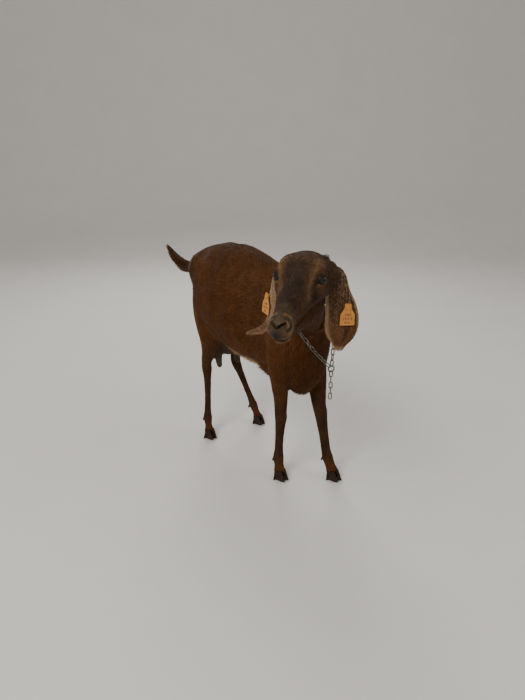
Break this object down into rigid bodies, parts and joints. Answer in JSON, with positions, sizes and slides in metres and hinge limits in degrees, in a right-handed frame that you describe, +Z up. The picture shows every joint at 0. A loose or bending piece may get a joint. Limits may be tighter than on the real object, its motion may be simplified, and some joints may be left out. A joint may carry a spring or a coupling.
{
  "type": "nubian goat",
  "caption": "Life-size standing Nubian goat doe with long hanging ears, head turned to its right, neck chain and ear tags, posed as a still display model.",
  "frame": {"origin": "on the floor under the centre of the bounding box", "axes": "+Z up, -Y the way the body faces, +X the animal's left"},
  "size_m": [0.5712, 1.1678, 0.8758],
  "materials": {
    "coat": "short red-brown hair",
    "dark_coat": "short dark brown hair",
    "ear_coat": "short frosted grey-brown hair",
    "skin": "thin grey-brown hair on skin",
    "horn": "dull dark horn",
    "eye": "wet gloss",
    "tag_plastic": "orange moulded plastic",
    "steel": "dull zinc"
  },
  "bodies": {
    "root": {"torso": "coat", "neck": "coat", "head": "coat", "tail": "dark_coat", "ear_left": "ear_coat", "ear_right": "ear_coat", "eye_left": "eye", "eye_right": "eye", "udder": "skin", "teat_left": "skin", "teat_right": "skin", "ear_tag_left": "tag_plastic", "ear_tag_right": "tag_plastic", "neck_chain": "steel", "foreleg_right_upper": "coat", "foreleg_right_lower": "dark_coat", "foreleg_left_upper": "coat", "foreleg_left_lower": "dark_coat", "hindleg_right_upper": "coat", "hindleg_right_lower": "dark_coat", "hindleg_left_upper": "coat", "hindleg_left_lower": "dark_coat", "fore_hoof_right": "horn", "fore_hoof_left": "horn", "hind_hoof_right": "horn", "hind_hoof_left": "horn"}
  },
  "joints": []
}
